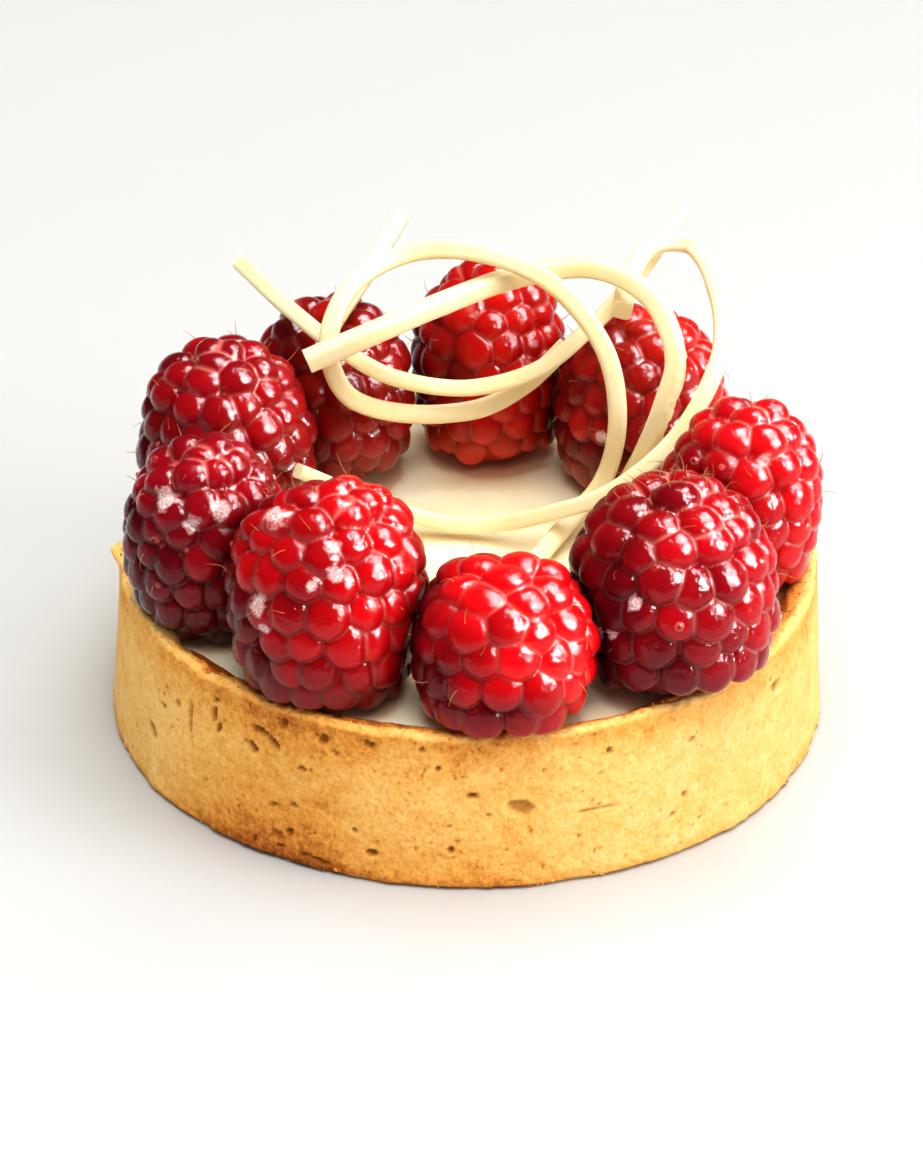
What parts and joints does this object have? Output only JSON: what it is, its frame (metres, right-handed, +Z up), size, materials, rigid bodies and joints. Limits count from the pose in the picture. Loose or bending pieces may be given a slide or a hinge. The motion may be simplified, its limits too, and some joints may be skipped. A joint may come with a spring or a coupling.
{
  "type": "raspberry tart",
  "caption": "Individual round shortcrust tart filled with pale cream, with a ring of glazed raspberries and curled white chocolate strands on top.",
  "frame": {"origin": "centre of the underside of the crust, on the surface that the tart stands on", "axes": "+Z up, -Y towards the side that is seen first, +X to its right"},
  "size_m": [0.0802, 0.0817, 0.0493],
  "materials": {
    "crust": "matte",
    "cream": "satin",
    "raspberry": "gloss",
    "white_chocolate": "satin"
  },
  "bodies": {
    "root": {"crust": "crust", "filling": "cream", "raspberry_1": "raspberry", "raspberry_2": "raspberry", "raspberry_3": "raspberry", "raspberry_4": "raspberry", "raspberry_5": "raspberry", "raspberry_6": "raspberry", "raspberry_7": "raspberry", "raspberry_8": "raspberry", "raspberry_9": "raspberry", "chocolate_curl_1": "white_chocolate", "chocolate_curl_2": "white_chocolate", "chocolate_curl_3": "white_chocolate", "chocolate_curl_4": "white_chocolate", "chocolate_curl_5": "white_chocolate"}
  },
  "joints": []
}
